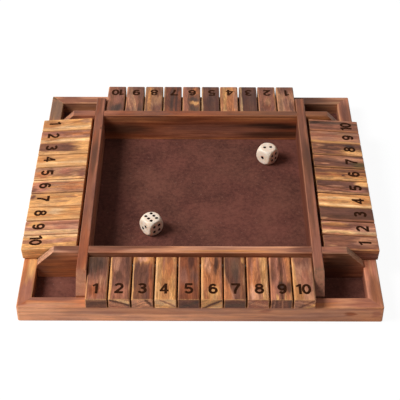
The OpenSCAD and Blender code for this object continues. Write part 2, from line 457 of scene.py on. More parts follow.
# Rails, from -X to +X of a side seen from outside. x is measured from the rail's middle
# towards the board, y along the rail and z upwards from the table.
RAILS = {
    "front": long_look("orange", ("rose", 4, 0.4, 3, 3),
        patches=(("tan", (-2.8, -126, 16), (2.4, 26, 3)), ("mauve", (3.6, -126, 16), (3, 24, 3)),
            # The pink and peach patches at x -6 lighten the rail's front face as painted light
            # falling on it from the front.
            ("russet", (0, -148, 16), (8, 4, 3)), ("pink", (-6, 0, 9), (4, 190, 11)),
            ("peach", (-6, -45, 3.5), (4, 90, 4)), ("peach", (-6, -138, 9), (4, 22, 12)),
            ("rose", (-6, 55, 12), (5, 5, 2)), ("russet", (-6, 124, 9), (4, 5, 2.2)),
            ("rose", (-6, 146, 9), (5, 4, 4)), ("pink", (0, 132, 16), (8, 20, 4)),
            # The cocoa patch at x 7 darkens the rail's inner face as painted shade in the trough
            # and the pockets.
            ("rose", (0, 140, 16), (8, 15, 4)), ("cocoa", (7, 0, 8), (2.2, 170, 6))),
        gain=1.24, edge="honey"),
    "right": long_look("tan", ("rose", 4, 3, 2, 3), ("rose", -2, 2, -4, 2),
        patches=(("plum", (-2, 120, 16), (7, 24, 9)), ("brown", (-1.4, -135, 16), (5.4, 18, 9)),
            # The cocoa patch at x 7 darkens the rail's inner face as painted shade in the trough
            # and the pockets.
            ("cocoa", (7, 0, 6), (2.6, 170, 8))), gain=1.55, edge="pink"),
    "back": long_look("tan", ("mauve", 0, 2, 1, 3), ("pink", -4, 2),
        patches=(("mauve", (0, 134, 16), (8, 12, 9)), ("umber", (0, -112, 12), (9, 26, 12)),
            ("plum", (2, -60, 16), (6, 26, 8))), edge="pink"),
    "left": long_look("orange", ("honey", -2, 0.8, 0, 1.4), ("rose", 3, 1, 2, 1.6),
        patches=(("rose", (1, 146, 16), (7, 5, 9)), ("fawn", (0, -130, 16), (9, 26, 9)),
            ("olive", (0, -150, 16), (9, 3, 9)), ("rose", (0, 134, 16), (8, 11, 9)),
            # The char patch at x 7 darkens the rail's inner face as painted shade in the trough and
            # the pockets.
            ("gold", (2, 97, 16), (3, 17, 5)), ("char", (7, 0, 6), (2.6, 170, 8))), gain=1.06),
}

# Dividers, in the same way
DIVIDERS = {
    "front": long_look("peach", ("pink", 2, 3, -2, 3),
        patches=(("mauve", (0, -84, 33), (7, 26, 3)), ("brown", (3, -62, 33), (3, 36, 3)),
            ("honey", (-3, 20, 33), (2, 40, 3)), ("mauve", (0, 94, 33), (7, 18, 4)),
            ("rose", (0, 114, 33), (7, 12, 3)), ("fawn", (0, 128, 25), (7, 12, 9)),
            ("fawn", (0, -136, 25), (9, 18, 14)), ("smoke", (9, -138, 25), (9, 16, 14)),
            ("plum", (1.2, -111, 33), (4.2, 13, 4)), ("russet", (-5, 0, 14), (2.6, 170, 22)),
            ("orange", (-5, -118, 12), (2.6, 16, 16)), ("umber", (-5, 116, 14), (2.6, 14, 22)),
            ("cocoa", (-5, 60, 8), (2.6, 100, 10))), gain=1.06, edge="peach"),
    "right": long_look("brown", ("rose", -3, 1.8, -2, 0.5), ("mauve", 3, 2, 1, 2),
        patches=(("rose", (0, -110, 33), (6, 34, 4)), ("umber", (-1, 24, 33), (4, 30, 3)),
            ("smoke", (0, -136, 22), (9, 17, 20)), ("fawn", (0, -127, 30), (8, 6, 6)),
            ("tan", (4.6, 0, 33), (0.9, 150, 2)), ("cocoa", (5, 0, 14), (2.6, 170, 19))),
        gain=1.04, edge="rose"),
    "back": long_look("russet",
        patches=(("rose", (0, 112, 33), (7, 30, 9)), ("smoke", (0, 142, 22), (14, 20, 18)),
            ("smoke", (0, -142, 22), (14, 20, 18)), ("honey", (3.6, -112, 31), (2.6, 13, 4)),
            ("mauve", (0, 50, 33), (7, 20, 4)), ("brown", (0, -80, 33), (7, 60, 5)),
            ("orange", (5, 70, 28), (3, 50, 3)), ("orange", (5, -60, 29), (3, 44, 2.2)),
            ("char", (5, -70, 20), (3, 36, 4)), ("rose", (5, -10, 14), (3, 60, 8)),
            ("umber", (5, 80, 16), (3, 30, 6)), ("umber", (5, -80, 10), (3, 40, 4)),
            ("orange", (5, 0, 5.2), (3, 120, 0.9))), contrast=0.7, gain=0.95, edge="orange"),
    "left": long_look("brown", ("rose", 3, 1, 3, 1.4), ("russet", -2, 1.5, -1, 1.5),
        patches=(("russet", (0, 110, 33), (7, 34, 4)), ("tan", (0, 138, 25), (9, 18, 12)),
            ("umber", (3.0, -74, 33), (1.2, 2.0, 4)), ("umber", (0, -30, 33), (3, 30, 3)),
            ("mauve", (0, 34, 33), (6, 34, 3)), ("mauve", (0, -88, 33), (6, 16, 3))),
        gain=1.06, edge="rose"),
}

# Tiles from number 1 to number 10. x is measured from the tile's middle to the right of its
# number, y from the tile's outer end and z from the middle of its thickness.
TILES = {}
# The light streaks along the left long edge of several front tiles, near x -8.4, are partly the
# wood's colour and partly a painted highlight of that rounded edge lit from the left.
TILES["front"] = (
    look("rose", ("orange", -8.6, 1.3, -8.9, -1.0), ("tan", 8.5, 0.7, 8.3, 0.8),
        patches=(("smoke", (-1.5, 44), (9, 16, 9)), ("pink", (3.5, 21), (3, 6, 4)),
            ("russet", (-2, 10), (5, 8, 4))),
        sawn=(("brown", 0, 0, 20), ("tan", 5.2, 0, 1.4), ("umber", 0.6, -6, 1.8),
            ("brown", -4, -5, 1.2)), gain=0.94),
    look("mauve", ("gold", -8.4, 1.0, -8.3, 1.2), ("plum", 5.6, -1, 5.6, 2.6), ("tan", 8.6, 0.6),
        patches=(("pink", (-3.4, 45), (2.6, 9, 5)), ("pink", (-3.0, 35), (1.4, 5, 5)),
            ("umber", (-1.6, 28), (2.4, 6, 4)), ("rose", (1, 8), (7, 9, 4))),
        sawn=(("pink", 0, 0, 20), ("cream", 4.4, 24, 1.6), ("umber", 1.4, 24, 1.2),
            ("rose", -4, 16, 1.4)), gain=0.98),
    look("plum", ("gold", -8.4, 0.8), ("russet", 6.2, 1.1, 6.8, 1.4), ("tan", 8.8, 0.5),
        patches=(("honey", (0, 50), (12, 9, 7)), ("peach", (-1, 46), (4, 4, 4)),
            ("brown", (-3, 8), (4, 9, 4))),
        sawn=(("peach", 0, 0, 20), ("umber", 5.0, 60, 1.2), ("pink", -3, 8, 1.4)), gain=0.96),
    look("honey", ("gold", -5.6, 2.6, -6.4, 2), ("cream", -8.4, 0.7, -8.4, 0.8),
        ("rose", -1.4, -1.5, -1.6, 1.2), ("rose", 2.4, -1.2, 2.2, 1.2), ("gold", 5.4, 1.6, 5.8, 1),
        patches=(("orange", (3.5, 38), (4, 14, 5)),),
        sawn=(("cream", 0, 0, 20), ("rose", 1.6, 34, 0.8), ("gold", -3.6, 12, 1.6)),
        contrast=0.9, gain=1.04),
    look("russet", ("mauve", 1.6, -1, 1.4, 2.4), ("orange", 8.5, 0.6), ("rose", -8.2, 1),
        patches=(("cocoa", (1.6, 42), (2.4, 10, 4)), ("rose", (-4, 25), (3.4, 9, 4)),
            ("mauve", (5, 24), (3, 9, 4))),
        sawn=(("plum", 0, 0, 20), ("smoke", -1, -26, 1.6), ("mauve", 4.6, -8, 1.2)), gain=0.84),
    look("orange", ("brown", 1.2, -2, 4.2, 1.8), ("gold", -8.2, 1.2), ("rose", 8.0, 1.0, 8.0, 1.2),
        patches=(("peach", (-3.6, 38), (2.6, 9, 5)), ("umber", (3.4, 36), (2.2, 9, 4)),
            ("gold", (2, 8), (5, 8, 5))),
        sawn=(("gold", 0, 0, 20), ("umber", -0.4, -34, 1.3), ("cream", -5, -28, 1.6)), gain=0.92),
    look("plum", ("brown", 6, 2), ("orange", -9, 8.3, -9, -3.8), ("pink", -0.8, 0.4, -12.6, 0.4),
        ("tan", 8.7, 0.6),
        patches=(("gold", (6.8, 45), (1.0, 3, 3)), ("smoke", (1, 34), (3.4, 12, 5))),
        sawn=(("plum", 0, 0, 20), ("mauve", 5.4, 0, 1.2), ("smoke", -1.4, -5, 2.0))),
    look("orange", ("rose", -4.4, -0.8, -5.0, 1.8), ("russet", -7.0, 0.8, -6.8, 0.6),
        ("gold", 4.6, 2.0, 5.0, 2.2), ("rose", 1.4, -1, 1.0, 0.8), ("cream", 8.2, 0.5, 8.2, 0.6),
        patches=(("peach", (-3, 6), (5, 9, 5)),),
        sawn=(("rose", 0, 0, 20), ("pink", 0, 14, 1.6), ("brown", 5.6, 6, 0.9)), gain=1.04),
    look("rose", ("umber", 0.4, 1.2, 0.6, 2.0), ("orange", 6.3, 2.0, 6.2, 2.2),
        ("gold", 8.5, 0.6, 8.5, 0.7),
        patches=(("cocoa", (0.4, 35), (2.0, 7, 4)), ("char", (0.6, 16), (2.8, 5, 4)),
            ("umber", (6.6, 14), (2.4, 6, 4)), ("mauve", (-6, 30), (3, 14, 5)),
            ("gold", (-3.6, 3), (1.0, 5, 3)), ("gold", (3.4, 3), (0.9, 5, 3))),
        sawn=(("plum", 0, 0, 20), ("pink", -5.8, 90, 0.3), ("mauve", -2.4, 90, 0.5),
            ("pink", 0.8, 90, 0.3), ("mauve", 4, 90, 0.5), ("smoke", 7, 90, 0.8)),
        lean=0.05, gain=1.16),
    look("pink", ("gold", -8.0, 1.4, -8.4, 1.0), ("tan", 8.5, 0.7),
        patches=(("mauve", (0, 46), (9, 9, 5)), ("rose", (2, 20), (5, 12, 5)),
            ("honey", (-4.5, 6), (4, 9, 5))),
        sawn=(("pink", 0, 0, 20), ("brown", -1, -36, 1.0), ("gold", -5, -30, 1.6)),
        contrast=0.85, gain=0.96),
)
TILES["right"] = (
    look("mauve", ("orange", -8.6, 1.2, -9, -1), ("tan", 8.6, 0.6),
        patches=(("tan", (-4.8, 42), (1.4, 4, 3)), ("pink", (2, 11), (6, 12, 5))), gain=1.1),
    look("rose", ("cream", -6.6, 1.8), ("mauve", 2, 2.4, 1, 1.6), ("cream", 5.8, -0.6, 5.4, 0.8),
        patches=(("honey", (4, 36), (3, 10, 5)), ("pink", (-2, 10), (4, 12, 5))),
        contrast=1.1, gain=1.3),
    look("umber", ("plum", 3, 3, 2, 4), ("rose", -8.2, 0.8, -8.2, 0.7),
        patches=(("tan", (-7, 45), (1.8, 3.4, 3)),), contrast=0.8, gain=1.15, edge="tan"),
    look("gold", ("cream", -7.2, 1.6), ("orange", -1.8, -0.8, -1.8, 1.2),
        ("cream", 2.6, 0.8, 2.4, 0.9), ("honey", 6, 2), patches=(("honey", (-1, 8), (6, 8, 5)),),
        gain=1.35, edge="cream"),
    look("plum", ("orange", -1.4, -0.8, -1.0, 0.8), ("tan", -8.0, 1.0),
        patches=(("pink", (0.6, 32), (1.0, 8, 4)), ("gold", (5.5, 5), (4.0, 7, 5)),
            ("rose", (-4, 12), (3, 9, 4)), ("mauve", (-4, 36), (3, 9, 4))),
        contrast=1.3, gain=1.35),
    look("honey", ("gold", -7.4, 1.8), ("brown", 4.4, 2.2, 4.4, 3),
        ("russet", -1.2, 0.8, -1.6, 1.0), patches=(("umber", (-2.4, 22), (1.0, 1.6, 3)),),
        contrast=1.3, gain=1.1),
    look("plum", ("pink", 8.0, -0.8, 7.4, 1.6), ("orange", 7.0, -2, 5.4, 2.2),
        patches=(("olive", (-4.5, 5), (4, 8, 5)), ("pink", (-4.6, 38), (0.8, 4, 3)),
            ("pink", (3, 16), (4, 16, 5))), contrast=1.2, gain=1.35),
    look("brown", ("umber", -1, 1.5, -1, 1.2), ("plum", 4.6, 1.2, 4, 1.2),
        patches=(("gold", (-4.2, 6), (5.0, 14, 5)), ("tan", (4.8, 38), (1.4, 4.4, 3)),
            ("char", (4.4, 12), (2.0, 5, 4))), contrast=1.4, gain=1.4),
    look("pink", ("rose", 1, 2.0, 2, 3.0), ("gold", -8.2, 1.0, -8.2, 0.8),
        patches=(("tan", (5, 14), (4, 12, 5)),), contrast=0.75, gain=1.06),
    look("rose", ("smoke", 3.0, 1.4, 2.6, 2.4), ("pink", 7.0, 0.7, 6.6, 0.8), ("mauve", -6, 2.4),
        patches=(("char", (3, 42), (2, 4, 4)), ("mauve", (-2, 8), (5, 8, 5))),
        contrast=1.1, gain=1.08),
)
TILES["back"] = (
    look("pink", ("rose", -0.6, 1.4, -0.6, 1.2), ("tan", 5.4, 2.4),
        patches=(("mauve", (-5, 40), (3, 9, 5)), ("mauve", (-2, 6), (8, 9, 5))), gain=0.84),
    look("rose", ("honey", -8.2, 1.4, -8.2, 1.0), ("brown", 4.8, 1.0, 4.4, 1.2),
        patches=(("russet", (0, 38), (4, 8, 5)), ("tan", (-1, 30), (3, 8, 5)),
            ("mauve", (0, 6), (8, 9, 5))), contrast=1.2, gain=1.14),
    look("cocoa", ("cream", 7.2, 0.6, 6.8, 0.7), ("plum", -3, 3),
        gain=0.75, contrast=0.8, edge="tan"),
    look("orange", ("gold", 4.4, 1.9, 4.6, 1.9), ("pink", -6.5, 1.6),
        patches=(("honey", (-1, 8), (4, 9, 5)),), gain=0.9),
    look("cocoa", ("cream", 8.5, 0.4), ("plum", -3, 2), patches=(("mauve", (4, 14), (3, 12, 5)),),
        gain=0.72, contrast=0.8, edge="tan"),
    look("brown", ("rose", 5.6, 2.6),
        patches=(("smoke", (-3, 44), (5, 6, 5)), ("gold", (-3.0, 32), (4.0, 3.6, 4)),
            ("smoke", (-2, 25), (5, 4, 5)), ("orange", (-4, 8), (4.4, 7, 5))), gain=0.95),
    look("russet", ("cream", 8.4, 0.4), ("umber", 1.0, 1.8, 0.6, 1.6), ("cocoa", -4, 1.5),
        contrast=1.2, gain=0.74, edge="tan"),
    look("tan", ("honey", 4.8, 2.0), ("umber", 8.2, 0.6),
        patches=(("mauve", (-4, 42), (6, 9, 5)), ("brown", (-4, 8), (4, 10, 5))), gain=0.86),
    look("mauve", ("tan", 5.0, 1.6, -1.0, 1.6), ("pink", 8.0, 0.8, 3.4, 1.0),
        ("umber", -4, 1.2, -5, 1.4), contrast=1.2, gain=0.86),
    look("rose", ("brown", 4, 2),
        patches=(("smoke", (-1, 43), (6, 8, 5)), ("mauve", (0, 10), (8, 10, 5))), gain=0.8),
)
TILES["left"] = (
    look("gold", ("cream", 5.0, 2.2, 4.6, 2.4), ("honey", -3, 1.5),
        patches=(("tan", (-4, 42), (4, 5, 5)), ("honey", (0, 9), (6, 13, 5))),
        contrast=0.8, gain=0.99, edge="cream"),
    look("pink", ("orange", -3, 2.4), ("cream", 7.0, 2.0, 6.6, 2.2), ("gold", 4.2, 0.8, 4.0, 0.8),
        patches=(("rose", (-4, 14), (4, 12, 5)), ("honey", (4, 9), (3.4, 12, 5)))),
    look("gold", ("brown", -1.5, 6.6, -1.5, 6.0),
        patches=(("gold", (0, 50), (10, 13, 7)), ("plum", (-1, 26), (6, 8, 5)),
            ("brown", (0, 5), (6, 5, 5))), edge="cream"),
    look("gold", ("cream", 4.4, 1.6, 4.0, 1.6), ("honey", -4, 1.0),
        patches=(("honey", (-1, 6), (5, 7, 5)),), contrast=0.65, gain=0.96, edge="cream"),
    look("tan", ("gold", 6.8, 1.6, 6.8, 1.4),
        patches=(("mauve", (3, 45), (6, 4, 5)), ("rose", (-2, 30), (5, 6, 5)),
            ("umber", (-3, 16), (2.4, 3, 4)), ("orange", (2, 8), (6, 7, 5))),
        contrast=1.1, gain=1.08, edge="cream"),
    look("tan", ("cream", -7.4, 1.2), ("honey", 2, 1.2), ("orange", -3, 1.0, -3, 1.2),
        patches=(("rose", (1, 8), (8, 8, 5)), ("plum", (5, 2), (4, 4, 5)),
            ("orange", (4, 36), (4, 10, 5))), contrast=1.1, gain=1.05),
    look("gold", ("honey", -2.4, 1.0, -3, 1.2),
        patches=(("tan", (-1.5, 40), (1.2, 6, 4)), ("tan", (3.5, 28), (1.0, 6, 4)),
            ("brown", (-4, 3), (2.4, 2.4, 4))), contrast=0.8, gain=0.98, edge="cream"),
    look("gold", ("honey", 4, 1.0, 4, 1.4),
        patches=(("cream", (-1, 26), (4, 6, 5)), ("honey", (-4, 42), (4, 6, 5))),
        contrast=0.8, gain=0.98, edge="cream"),
    look("pink", ("cream", 6.6, 1.8, 6.4, 2.0), ("rose", -5, 1.4),
        patches=(("rose", (1.5, 32), (3.4, 6, 4)), ("gold", (-4, 8), (3.4, 6, 5))),
        contrast=0.9, edge="cream"),
    look("gold", ("pink", 0, 2.0, -0.5, 2.4), ("cream", -6.4, 1.0, -6.4, 1.2),
        patches=(("pink", (1, 16), (2.4, 8, 5)),), gain=1.06, edge="cream"),
)


def side_turn(side):
    """The turn from the front side to this one"""
    return Matrix.Rotation(math.radians(90 * SIDES.index(side)), 4, "Z")


def add_bar(node, side, middle, spec, seed, ease):
    """A rail or a divider, whose grain runs along its side of the board"""
    turn = side_turn(side)
    across, along = turn @ Vector((0, 1, 0)), turn @ Vector((1, 0, 0))
    to_frame = frame_matrix(across, along, Vector((0, 0, 1)), across * -middle)
    mesh = bpy.data.meshes.new(node)
    add_grain(eased_copy(node, ease), mesh, to_frame.inverted())
    half = cad_high.x / MM
    material = wood(node, spec, seed, (-half, half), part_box(node)[1].z / MM)
    fix_normals(add_piece(mesh, node + "_wood", BOARD, material, [node]))


def side_middle(node):
    """Distance from the board's centre to the middle of a piece on the front side"""
    low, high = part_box(node)
    return -(low.y + high.y) / 2


# The looks, the first seed and the ease of the edges of each kind
BARS = {
    "rail": (RAILS, 100, 0.3 * MM),
    "divider": (DIVIDERS, 200, 0.35 * MM),
}
for turns, side in enumerate(SIDES):
    for kind, (looks, seed, ease) in BARS.items():
        middle = side_middle(kind + "_front")
        add_bar(f"{kind}_{side}", side, middle, looks[side], seed + turns, ease)

# Printed numbers, in millimetres from the middle of the foot of each. LIFT and SINK are how far
# the ink stands above the wood and reaches into it.
DIGIT_H = 11.2
STROKE = 2.34
DIGIT_LIFT = 0.05
DIGIT_SINK = 0.05
FOOT_FROM_END = 6.45
MITRE_LIMIT = 0.3


def arc(x, y, radius_x, radius_y, start, end, steps=20):
    """Points on an ellipse from one angle to another, in degrees"""
    angles = [math.radians(start + (end - start) * i / steps) for i in range(steps + 1)]
    return [Vector((x + radius_x * math.cos(a), y + radius_y * math.sin(a))) for a in angles]


def line(*points):
    return [Vector(p) for p in points]


def stroke(points, width):
    """A flat bar of even width along the points, as a closed solid"""
    closed = (points[0] - points[-1]).length < 0.01
    if closed:
        points = points[:-1]
    count = len(points)
    shape = bmesh.new()
    rings = []
    for i, point in enumerate(points):
        before = points[i - 1] if closed or i else point
        after = points[(i + 1) % count] if closed or i < count - 1 else point
        into, out = (point - before), (after - point)
        into = into.normalized() if into.length else out.normalized()
        out = out.normalized() if out.length else into
        middle = (into + out).normalized()
        reach = width / 2 / max(MITRE_LIMIT, middle.dot(into))
        normal = Vector((-middle.y, middle.x)) * reach
        ring = [
            shape.verts.new((*(point + normal * side), z))
            for side, z in ((1, -DIGIT_SINK), (1, DIGIT_LIFT), (-1, DIGIT_LIFT), (-1, -DIGIT_SINK))
        ]
        rings.append(ring)
    for i in range(count if closed else count - 1):
        first, last = rings[i], rings[(i + 1) % count]
        for k in range(4):
            shape.faces.new((first[k], first[(k + 1) % 4], last[(k + 1) % 4], last[k]))
    if not closed:
        shape.faces.new(rings[0][::-1])
        shape.faces.new(rings[-1])
    bmesh.ops.recalc_face_normals(shape, faces=shape.faces)
    return shape


def digit_strokes(digit):
    """The strokes of one digit, in a plain bold face"""
    half = STROKE / 2
    top = DIGIT_H - half
    wide = 2.7
    shapes = {
        "0": [(arc(0, DIGIT_H / 2, wide, top - DIGIT_H / 2, 0, 360, 36), STROKE)],
        "1": [(line((0.95, 0), (0.95, DIGIT_H)), STROKE), (line((0.7, 10.1), (-2.3, 8.4)), 1.9)],
        "2": [
            (arc(0, 7.7, wide, 2.6, 168, -38) + line((-2.5, 1.2)), STROKE),
            (line((-3.5, half), (3.7, half)), STROKE),
        ],
        "3": [
            (arc(-0.1, 8.3, 2.45, 2.0, 158, -95), STROKE),
            (arc(0, 3.5, 2.75, 2.4, 95, -158), STROKE),
            (line((-1.1, 6.1), (0.2, 6.1)), 1.9),
        ],
        "4": [
            (line((1.35, 0), (1.35, DIGIT_H)), STROKE),
            (line((1.2, 10.5), (-2.9, 3.4)), 1.9),
            (line((-3.8, 3.4), (3.8, 3.4)), 1.95),
        ],
        "5": [
            (line((-2.35, 10.35), (3.2, 10.35)), STROKE),
            (line((-2.0, DIGIT_H), (-2.6, 5.4)), 1.95),
            (arc(-0.05, 3.8, 2.75, 2.7, 142, -155), STROKE),
        ],
        "6": [
            (arc(0, 3.75, wide, 2.65, 0, 360, 32), STROKE),
            (arc(0, 5.7, wide, top - 5.7, 205, 42), STROKE),
        ],
        "7": [
            (line((-3.7, 10.35), (3.75, 10.35)), STROKE),
            (line((3.2, 10.2), (1.1, 6.9), (-0.2, 3.6), (-0.7, 0)), STROKE),
        ],
        "8": [
            (arc(0, 8.3, 2.4, 2.0, 0, 360, 32), 2.05),
            (arc(0, 3.6, 2.75, 2.5, 0, 360, 32), STROKE),
        ],
    }
    if digit != "9":
        return shapes[digit]
    turned = [([(-p.x, DIGIT_H - p.y) for p in path], width) for path, width in shapes["6"]]
    return [(line(*path), width) for path, width in turned]


def join_solids(base, cutter, operation):
    """Applies a boolean of two meshes and returns the result as a new mesh"""
    first = bpy.data.objects.new("base", base)
    second = bpy.data.objects.new("cutter", cutter)
    for item in (first, second):
        bpy.context.scene.collection.objects.link(item)
    step = first.modifiers.new("step", "BOOLEAN")
    step.operation, step.object, step.solver = operation, second, "EXACT"
    bpy.context.view_layer.update()
    finished = first.evaluated_get(bpy.context.evaluated_depsgraph_get())
    result = bpy.data.meshes.new_from_object(finished)
    for item in (first, second):
        bpy.data.objects.remove(item)
    return result


def as_mesh(shape, name="step"):
    """The bmesh as a mesh. The bmesh is freed."""
    mesh = bpy.data.meshes.new(name)
    shape.to_mesh(mesh)
    shape.free()
    return mesh


def digit_mesh(digit):
    strokes = [as_mesh(stroke(path, width)) for path, width in digit_strokes(digit)]
    whole = strokes[0]
    for piece in strokes[1:]:
        whole = join_solids(whole, piece, "UNION")
    return whole


DIGITS = {digit: digit_mesh(digit) for digit in "0123456789"}
# How far the digits of a number stand to the right of its middle
DIGIT_OFFSETS = {"1": (-0.4,), "10": (-3.75, 2.45)}


def number_mesh(number, name, place):
    """The number's digits on a tile. place maps millimetres on the tile to the frame."""
    shape = bmesh.new()
    text = str(number)
    for digit, offset in zip(text, DIGIT_OFFSETS.get(text, (0,))):
        part = DIGITS[digit].copy()
        part.transform(Matrix.Translation((offset, 0, 0)))
        shape.from_mesh(part)
    shape.transform(place)
    return as_mesh(shape, name)


joints = {joint["child"]: joint for joint in frame["joints"]}
ink = ink_material()


def tile_frame(node):
    """The tile's own axes, with its origin at the middle of its outer end"""
    joint = joints[node]
    pin, across = Vector(joint["pos_m"]), -Vector(joint["axis"])
    source = frame["nodes"][node]
    faces = sorted(source.data.polygons, key=lambda face: -face.area)
    level = next(f.normal for f in faces if abs(f.normal.z) > 0.9)
    up = level * math.copysign(1, level.z)
    along = up.cross(across)
    reach = min((v.co - pin).dot(along) for v in source.data.vertices)
    return frame_matrix(across, along, up, pin + along * reach), pin


# How far the first and the last tile of each row stand to the right of their places along the
# rod, in millimetres, and how far each number is printed to the right of its tile's middle
ROW_SLIPS = {"front": (-0.1, 0.3), "right": (0, 0), "back": (-0.45, -0.45), "left": (-0.45, -0.45)}
NUMBER_SHIFTS = {
    "front": (-0.5, -0.6, -0.4, -1.2, -0.2, 1.0, 0.5, 1.0, 0.7, -0.7),
    "right": (0, -0.2, 0, -0.7, -1.0, 0.2, -0.5, 0, -0.5, -1.3),
    "back": (-1.1, -0.7, -0.7, -0.8, -1.5, -0.5, -1.3, 0, -1.0, -1.2),
    "left": (-1.7, -1.1, -0.8, -1.8, -0.8, -0.5, -1.0, -0.1, -1.0, -1.5),
}
# Chance differences each way: tiles in millimetres and degrees, then their numbers
SLIP, YAW = 0.06, 0.2
PRINT_SLIP, PRINT_TILT = 0.2, 0.9
TILE_EASE = 0.25 * MM
TILE_SEED, SEEDS_PER_SIDE = 300, 20


def add_tile(side, number):
    """A tile of wood, eased and set a little off its place, and its printed number"""
    node = f"tile_{side}_{number}"
    draw = random.Random(node)
    to_frame, pin = tile_frame(node)
    first, last = ROW_SLIPS[side]
    slip = first + (last - first) * (number - 1) / (TILE_COUNT - 1) + draw.uniform(-SLIP, SLIP)
    offset = to_frame.to_3x3() @ Vector((slip * MM, 0, 0))
    yaw = Matrix.Rotation(math.radians(draw.uniform(-YAW, YAW)), 4, "Z")
    move = Matrix.Translation(pin + offset) @ yaw @ Matrix.Translation(-pin)
    shape = eased_copy(node, TILE_EASE)
    shape.transform(move)
    placed = move @ to_frame
    inwards = [placed.inverted() @ v.co / MM for v in shape.verts]
    length, top = max(v.y for v in inwards), max(v.z for v in inwards)
    mesh = bpy.data.meshes.new(node)
    add_grain(shape, mesh, placed.inverted())
    seed = TILE_SEED + SEEDS_PER_SIDE * SIDES.index(side) + number
    material = wood(node, TILES[side][number - 1], seed, (0, length), top)
    fix_normals(add_piece(mesh, node + "_wood", node, material, [node]))
    tilt = Matrix.Rotation(math.radians(draw.uniform(-PRINT_TILT, PRINT_TILT)), 4, "Z")
    foot = FOOT_FROM_END + draw.uniform(-PRINT_SLIP, PRINT_SLIP)
    spot = (NUMBER_SHIFTS[side][number - 1], foot, top)
    place = placed @ Matrix.Scale(MM, 4) @ Matrix.Translation(spot) @ tilt
    print_mesh = number_mesh(number, node + "_number", place)
    add_piece(print_mesh, node + "_number", node, ink)


for side in SIDES:
    for number in range(1, TILE_COUNT + 1):
        add_tile(side, number)


# Felt linings, with the size of their mesh cells and the depth and pace of their ripples
FELT_CELL = 2.0 * MM
FELT_RIPPLE = 0.12 * MM
RIPPLES_PER_M = 90
felt = felt_material()


def felt_slab(name, low, high, node):
    """A felt lining with a slightly uneven top, glued down on the base board"""
    width, depth = high.x - low.x, high.y - low.y
    columns, rows = (max(4, round(size / FELT_CELL)) for size in (width, depth))
    shape = bmesh.new()

    def point(i, j, on_top):
        x, y = low.x + width * i / columns, low.y + depth * j / rows
        share = 0.5 + 0.5 * noise.noise(Vector((x, y, 0)) * RIPPLES_PER_M)
        return shape.verts.new((x, y, high.z - FELT_RIPPLE * share if on_top else low.z))

    grids = [
        [[point(i, j, on_top) for j in range(rows + 1)] for i in range(columns + 1)]
        for on_top in (False, True)
    ]
    for i in range(columns):
        for j in range(rows):
            for grid in grids:
                corners = (grid[i][j], grid[i + 1][j], grid[i + 1][j + 1], grid[i][j + 1])
                shape.faces.new(corners)
    edge = [(i, 0) for i in range(columns)] + [(columns, j) for j in range(rows)]
    edge += [(i, rows) for i in range(columns, 0, -1)] + [(0, j) for j in range(rows, 0, -1)]
    bottom, top = grids
    for (i, j), (k, m) in zip(edge, edge[1:] + edge[:1]):
        shape.faces.new((bottom[i][j], bottom[k][m], top[k][m], top[i][j]))
    bmesh.ops.recalc_face_normals(shape, faces=shape.faces)
    piece = add_piece(as_mesh(shape, name), name, BOARD, felt, [node])
    piece.data.shade_smooth()
    piece.data.set_sharp_from_angle(angle=math.radians(45))


tray_low, tray_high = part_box("tray_felt")
felt_slab("tray_lining", tray_low, tray_high, "tray_felt")
divider_low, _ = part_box("divider_front")
_, rail_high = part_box("rail_front")
pocket_out, pocket_in = -rail_high.y, -divider_low.y
for side in SIDES:
    turn = side_turn(side)
    strips = {
        "pocket": ((-pocket_out, -pocket_out), (-pocket_in, -pocket_in)),
        "trough": ((tray_low.x, -pocket_out), (tray_high.x, -pocket_in)),
    }
    for kind, corners in strips.items():
        ends = [turn @ Vector((x, y, 0)) for x, y in corners]
        low = Vector((min(e.x for e in ends), min(e.y for e in ends), tray_low.z))
        high = Vector((max(e.x for e in ends), max(e.y for e in ends), tray_high.z))
        felt_slab(f"{kind}_lining_{side}", low, high, kind + "_felts")

# Dice, in millimetres. Width and ball are the CAD's, but its pips are 2.5 wide: the painted ones
# look wider in the photograph, and widest the single one. DICE gives each die's turn in degrees
# and its values on top, in front and on the right.
DIE_W = 16.0
DIE_BALL_D = 21.6
DIE_CELLS = 44
RIM_POWER = 34
PIP_D = 2.9
ACE_D = 3.4
PIP_DEPTH = 0.4
PIP_RINGS, PIP_SEGMENTS = 7, 32
PAINT_LIFT = 0.02
CUTTER_TOP, PAINT_TOP = 0.15, 0.004
TWO_STEP, PIP_STEP, SIX_STEP, SIX_ROW = 2.1, 2.7, 4.0, 3.0
DICE = {"die_1": (309, 6, 2, 4), "die_2": (320, 2, 1, 4)}


def pip_places(value):
    """The middles of the pips on a face"""

    def corners(step):
        return [(-step, -step), (step, step), (-step, step), (step, -step)]

    if value == 6:
        return [(x, y) for x in (-SIX_STEP, 0, SIX_STEP) for y in (-SIX_ROW, SIX_ROW)]
    middle = [(0, 0)] if value % 2 else []
    if value == 2:
        return corners(TWO_STEP)[:2]
    around = corners(PIP_STEP)
    return middle + (around[:2] if value == 3 else around if value > 3 else [])


def face_turns(top, front, right):
    """Each face's turn from +Z and its value, for a die with these three faces"""
    return [
        (Matrix.Identity(4), top),
        (Matrix.Rotation(math.pi, 4, "X"), 7 - top),
        (Matrix.Rotation(math.pi / 2, 4, "X"), front),
        (Matrix.Rotation(-math.pi / 2, 4, "X"), 7 - front),
        (Matrix.Rotation(math.pi / 2, 4, "Y"), right),
        (Matrix.Rotation(-math.pi / 2, 4, "Y"), 7 - right),
    ]


